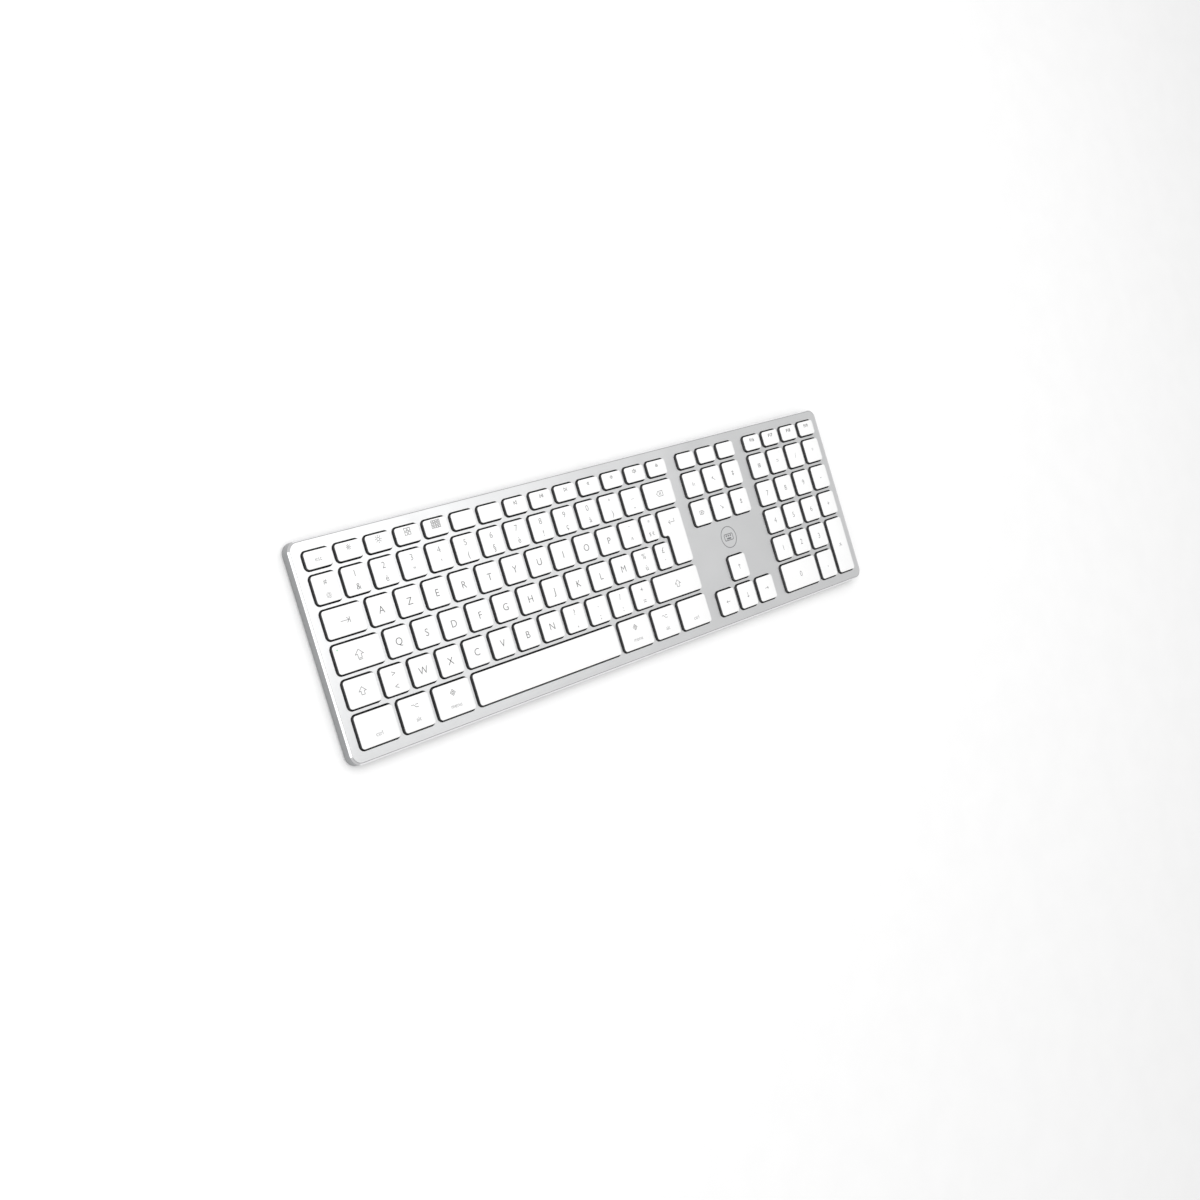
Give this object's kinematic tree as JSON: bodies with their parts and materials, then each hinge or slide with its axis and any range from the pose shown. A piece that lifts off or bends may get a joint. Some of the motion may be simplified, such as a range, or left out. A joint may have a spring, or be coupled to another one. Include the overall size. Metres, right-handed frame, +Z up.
{
  "type": "computer keyboard with numeric keypad",
  "caption": "Slim wireless desk keyboard with a numeric keypad: bevelled metal cover, white low-travel keys, sliding power switch and charging port.",
  "frame": {"origin": "middle of the footprint, on the surface the feet stand on", "axes": "+X along the key rows towards the numeric keypad, +Y towards the rear edge, +Z up"},
  "size_m": [0.419, 0.1172, 0.0091],
  "materials": {
    "cover_metal": "fine bead-blasted satin, polished bevel",
    "key_plastic": "smooth matt white",
    "base_plastic": "matt white",
    "foot_rubber": "soft matt grey",
    "cell_wrap": "matt black wrap",
    "circuit_board": "green solder mask",
    "inner_steel": "plain sheet",
    "membrane_film": "clear film",
    "dome_silicone": "matt dark silicone",
    "switch_plastic": "smooth matt white"
  },
  "bodies": {
    "case": {"top_cover": "cover_metal", "bottom_cover": "base_plastic", "front_foot": "foot_rubber", "rear_foot": "foot_rubber", "battery_pack": "cell_wrap", "controller_board": "circuit_board", "support_plate": "inner_steel", "contact_membrane": "membrane_film", "dome_sheet": "dome_silicone", "usb_port": "inner_steel"},
    "power_switch": {"power_switch": "switch_plastic"},
    "backspace_key": {"backspace_key": "key_plastic"},
    "caps_lock_key": {"caps_lock_key": "key_plastic"},
    "down_arrow_key": {"down_arrow_key": "key_plastic"},
    "end_key": {"end_key": "key_plastic"},
    "f13_key": {"f13_key": "key_plastic"},
    "f14_key": {"f14_key": "key_plastic"},
    "f15_key": {"f15_key": "key_plastic"},
    "f16_key": {"f16_key": "key_plastic"},
    "f17_key": {"f17_key": "key_plastic"},
    "f18_key": {"f18_key": "key_plastic"},
    "f19_key": {"f19_key": "key_plastic"},
    "forward_delete_key": {"forward_delete_key": "key_plastic"},
    "function_key": {"function_key": "key_plastic"},
    "function_row_keys": {"function_row_keys": "key_plastic"},
    "home_key": {"home_key": "key_plastic"},
    "home_letter_keys": {"home_letter_keys": "key_plastic"},
    "left_arrow_key": {"left_arrow_key": "key_plastic"},
    "left_modifier_keys": {"left_modifier_keys": "key_plastic"},
    "left_shift_key": {"left_shift_key": "key_plastic"},
    "lower_letter_keys": {"lower_letter_keys": "key_plastic"},
    "number_row_keys": {"number_row_keys": "key_plastic"},
    "pad_clear_key": {"pad_clear_key": "key_plastic"},
    "pad_divide_key": {"pad_divide_key": "key_plastic"},
    "pad_eight_key": {"pad_eight_key": "key_plastic"},
    "pad_enter_key": {"pad_enter_key": "key_plastic"},
    "pad_equals_key": {"pad_equals_key": "key_plastic"},
    "pad_five_key": {"pad_five_key": "key_plastic"},
    "pad_four_key": {"pad_four_key": "key_plastic"},
    "pad_minus_key": {"pad_minus_key": "key_plastic"},
    "pad_multiply_key": {"pad_multiply_key": "key_plastic"},
    "pad_nine_key": {"pad_nine_key": "key_plastic"},
    "pad_one_key": {"pad_one_key": "key_plastic"},
    "pad_plus_key": {"pad_plus_key": "key_plastic"},
    "pad_point_key": {"pad_point_key": "key_plastic"},
    "pad_seven_key": {"pad_seven_key": "key_plastic"},
    "pad_six_key": {"pad_six_key": "key_plastic"},
    "pad_three_key": {"pad_three_key": "key_plastic"},
    "pad_two_key": {"pad_two_key": "key_plastic"},
    "pad_zero_key": {"pad_zero_key": "key_plastic"},
    "page_down_key": {"page_down_key": "key_plastic"},
    "page_up_key": {"page_up_key": "key_plastic"},
    "return_key": {"return_key": "key_plastic"},
    "right_arrow_key": {"right_arrow_key": "key_plastic"},
    "right_modifier_keys": {"right_modifier_keys": "key_plastic"},
    "right_shift_key": {"right_shift_key": "key_plastic"},
    "space_bar": {"space_bar": "key_plastic"},
    "tab_key": {"tab_key": "key_plastic"},
    "up_arrow_key": {"up_arrow_key": "key_plastic"},
    "upper_letter_keys": {"upper_letter_keys": "key_plastic"}
  },
  "joints": [
    {"name": "press_backspace_key", "type": "slide", "parent": "case", "child": "backspace_key", "axis": [0, 0, -1], "range_m": [0, 0.001], "stiffness_N_per_m": 350},
    {"name": "press_caps_lock_key", "type": "slide", "parent": "case", "child": "caps_lock_key", "axis": [0, 0, -1], "range_m": [0, 0.001], "stiffness_N_per_m": 350},
    {"name": "press_down_arrow_key", "type": "slide", "parent": "case", "child": "down_arrow_key", "axis": [0, 0, -1], "range_m": [0, 0.001], "stiffness_N_per_m": 350},
    {"name": "press_end_key", "type": "slide", "parent": "case", "child": "end_key", "axis": [0, 0, -1], "range_m": [0, 0.001], "stiffness_N_per_m": 350},
    {"name": "press_f13_key", "type": "slide", "parent": "case", "child": "f13_key", "axis": [0, 0, -1], "range_m": [0, 0.001], "stiffness_N_per_m": 350},
    {"name": "press_f14_key", "type": "slide", "parent": "case", "child": "f14_key", "axis": [0, 0, -1], "range_m": [0, 0.001], "stiffness_N_per_m": 350},
    {"name": "press_f15_key", "type": "slide", "parent": "case", "child": "f15_key", "axis": [0, 0, -1], "range_m": [0, 0.001], "stiffness_N_per_m": 350},
    {"name": "press_f16_key", "type": "slide", "parent": "case", "child": "f16_key", "axis": [0, 0, -1], "range_m": [0, 0.001], "stiffness_N_per_m": 350},
    {"name": "press_f17_key", "type": "slide", "parent": "case", "child": "f17_key", "axis": [0, 0, -1], "range_m": [0, 0.001], "stiffness_N_per_m": 350},
    {"name": "press_f18_key", "type": "slide", "parent": "case", "child": "f18_key", "axis": [0, 0, -1], "range_m": [0, 0.001], "stiffness_N_per_m": 350},
    {"name": "press_f19_key", "type": "slide", "parent": "case", "child": "f19_key", "axis": [0, 0, -1], "range_m": [0, 0.001], "stiffness_N_per_m": 350},
    {"name": "press_forward_delete_key", "type": "slide", "parent": "case", "child": "forward_delete_key", "axis": [0, 0, -1], "range_m": [0, 0.001], "stiffness_N_per_m": 350},
    {"name": "press_function_key", "type": "slide", "parent": "case", "child": "function_key", "axis": [0, 0, -1], "range_m": [0, 0.001], "stiffness_N_per_m": 350},
    {"name": "press_function_row_keys", "type": "slide", "parent": "case", "child": "function_row_keys", "axis": [0, 0, -1], "range_m": [0, 0.001], "stiffness_N_per_m": 350},
    {"name": "press_home_key", "type": "slide", "parent": "case", "child": "home_key", "axis": [0, 0, -1], "range_m": [0, 0.001], "stiffness_N_per_m": 350},
    {"name": "press_home_letter_keys", "type": "slide", "parent": "case", "child": "home_letter_keys", "axis": [0, 0, -1], "range_m": [0, 0.001], "stiffness_N_per_m": 350},
    {"name": "press_left_arrow_key", "type": "slide", "parent": "case", "child": "left_arrow_key", "axis": [0, 0, -1], "range_m": [0, 0.001], "stiffness_N_per_m": 350},
    {"name": "press_left_modifier_keys", "type": "slide", "parent": "case", "child": "left_modifier_keys", "axis": [0, 0, -1], "range_m": [0, 0.001], "stiffness_N_per_m": 350},
    {"name": "press_left_shift_key", "type": "slide", "parent": "case", "child": "left_shift_key", "axis": [0, 0, -1], "range_m": [0, 0.001], "stiffness_N_per_m": 350},
    {"name": "press_lower_letter_keys", "type": "slide", "parent": "case", "child": "lower_letter_keys", "axis": [0, 0, -1], "range_m": [0, 0.001], "stiffness_N_per_m": 350},
    {"name": "press_number_row_keys", "type": "slide", "parent": "case", "child": "number_row_keys", "axis": [0, 0, -1], "range_m": [0, 0.001], "stiffness_N_per_m": 350},
    {"name": "press_pad_clear_key", "type": "slide", "parent": "case", "child": "pad_clear_key", "axis": [0, 0, -1], "range_m": [0, 0.001], "stiffness_N_per_m": 350},
    {"name": "press_pad_divide_key", "type": "slide", "parent": "case", "child": "pad_divide_key", "axis": [0, 0, -1], "range_m": [0, 0.001], "stiffness_N_per_m": 350},
    {"name": "press_pad_eight_key", "type": "slide", "parent": "case", "child": "pad_eight_key", "axis": [0, 0, -1], "range_m": [0, 0.001], "stiffness_N_per_m": 350},
    {"name": "press_pad_enter_key", "type": "slide", "parent": "case", "child": "pad_enter_key", "axis": [0, 0, -1], "range_m": [0, 0.001], "stiffness_N_per_m": 350},
    {"name": "press_pad_equals_key", "type": "slide", "parent": "case", "child": "pad_equals_key", "axis": [0, 0, -1], "range_m": [0, 0.001], "stiffness_N_per_m": 350},
    {"name": "press_pad_five_key", "type": "slide", "parent": "case", "child": "pad_five_key", "axis": [0, 0, -1], "range_m": [0, 0.001], "stiffness_N_per_m": 350},
    {"name": "press_pad_four_key", "type": "slide", "parent": "case", "child": "pad_four_key", "axis": [0, 0, -1], "range_m": [0, 0.001], "stiffness_N_per_m": 350},
    {"name": "press_pad_minus_key", "type": "slide", "parent": "case", "child": "pad_minus_key", "axis": [0, 0, -1], "range_m": [0, 0.001], "stiffness_N_per_m": 350},
    {"name": "press_pad_multiply_key", "type": "slide", "parent": "case", "child": "pad_multiply_key", "axis": [0, 0, -1], "range_m": [0, 0.001], "stiffness_N_per_m": 350},
    {"name": "press_pad_nine_key", "type": "slide", "parent": "case", "child": "pad_nine_key", "axis": [0, 0, -1], "range_m": [0, 0.001], "stiffness_N_per_m": 350},
    {"name": "press_pad_one_key", "type": "slide", "parent": "case", "child": "pad_one_key", "axis": [0, 0, -1], "range_m": [0, 0.001], "stiffness_N_per_m": 350},
    {"name": "press_pad_plus_key", "type": "slide", "parent": "case", "child": "pad_plus_key", "axis": [0, 0, -1], "range_m": [0, 0.001], "stiffness_N_per_m": 350},
    {"name": "press_pad_point_key", "type": "slide", "parent": "case", "child": "pad_point_key", "axis": [0, 0, -1], "range_m": [0, 0.001], "stiffness_N_per_m": 350},
    {"name": "press_pad_seven_key", "type": "slide", "parent": "case", "child": "pad_seven_key", "axis": [0, 0, -1], "range_m": [0, 0.001], "stiffness_N_per_m": 350},
    {"name": "press_pad_six_key", "type": "slide", "parent": "case", "child": "pad_six_key", "axis": [0, 0, -1], "range_m": [0, 0.001], "stiffness_N_per_m": 350},
    {"name": "press_pad_three_key", "type": "slide", "parent": "case", "child": "pad_three_key", "axis": [0, 0, -1], "range_m": [0, 0.001], "stiffness_N_per_m": 350},
    {"name": "press_pad_two_key", "type": "slide", "parent": "case", "child": "pad_two_key", "axis": [0, 0, -1], "range_m": [0, 0.001], "stiffness_N_per_m": 350},
    {"name": "press_pad_zero_key", "type": "slide", "parent": "case", "child": "pad_zero_key", "axis": [0, 0, -1], "range_m": [0, 0.001], "stiffness_N_per_m": 350},
    {"name": "press_page_down_key", "type": "slide", "parent": "case", "child": "page_down_key", "axis": [0, 0, -1], "range_m": [0, 0.001], "stiffness_N_per_m": 350},
    {"name": "press_page_up_key", "type": "slide", "parent": "case", "child": "page_up_key", "axis": [0, 0, -1], "range_m": [0, 0.001], "stiffness_N_per_m": 350},
    {"name": "press_return_key", "type": "slide", "parent": "case", "child": "return_key", "axis": [0, 0, -1], "range_m": [0, 0.001], "stiffness_N_per_m": 350},
    {"name": "press_right_arrow_key", "type": "slide", "parent": "case", "child": "right_arrow_key", "axis": [0, 0, -1], "range_m": [0, 0.001], "stiffness_N_per_m": 350},
    {"name": "press_right_modifier_keys", "type": "slide", "parent": "case", "child": "right_modifier_keys", "axis": [0, 0, -1], "range_m": [0, 0.001], "stiffness_N_per_m": 350},
    {"name": "press_right_shift_key", "type": "slide", "parent": "case", "child": "right_shift_key", "axis": [0, 0, -1], "range_m": [0, 0.001], "stiffness_N_per_m": 350},
    {"name": "press_space_bar", "type": "slide", "parent": "case", "child": "space_bar", "axis": [0, 0, -1], "range_m": [0, 0.001], "stiffness_N_per_m": 350},
    {"name": "press_tab_key", "type": "slide", "parent": "case", "child": "tab_key", "axis": [0, 0, -1], "range_m": [0, 0.001], "stiffness_N_per_m": 350},
    {"name": "press_up_arrow_key", "type": "slide", "parent": "case", "child": "up_arrow_key", "axis": [0, 0, -1], "range_m": [0, 0.001], "stiffness_N_per_m": 350},
    {"name": "press_upper_letter_keys", "type": "slide", "parent": "case", "child": "upper_letter_keys", "axis": [0, 0, -1], "range_m": [0, 0.001], "stiffness_N_per_m": 350},
    {"name": "slide_power_switch", "type": "slide", "parent": "case", "child": "power_switch", "axis": [1, 0, 0], "range_m": [0, 0.003]}
  ]
}
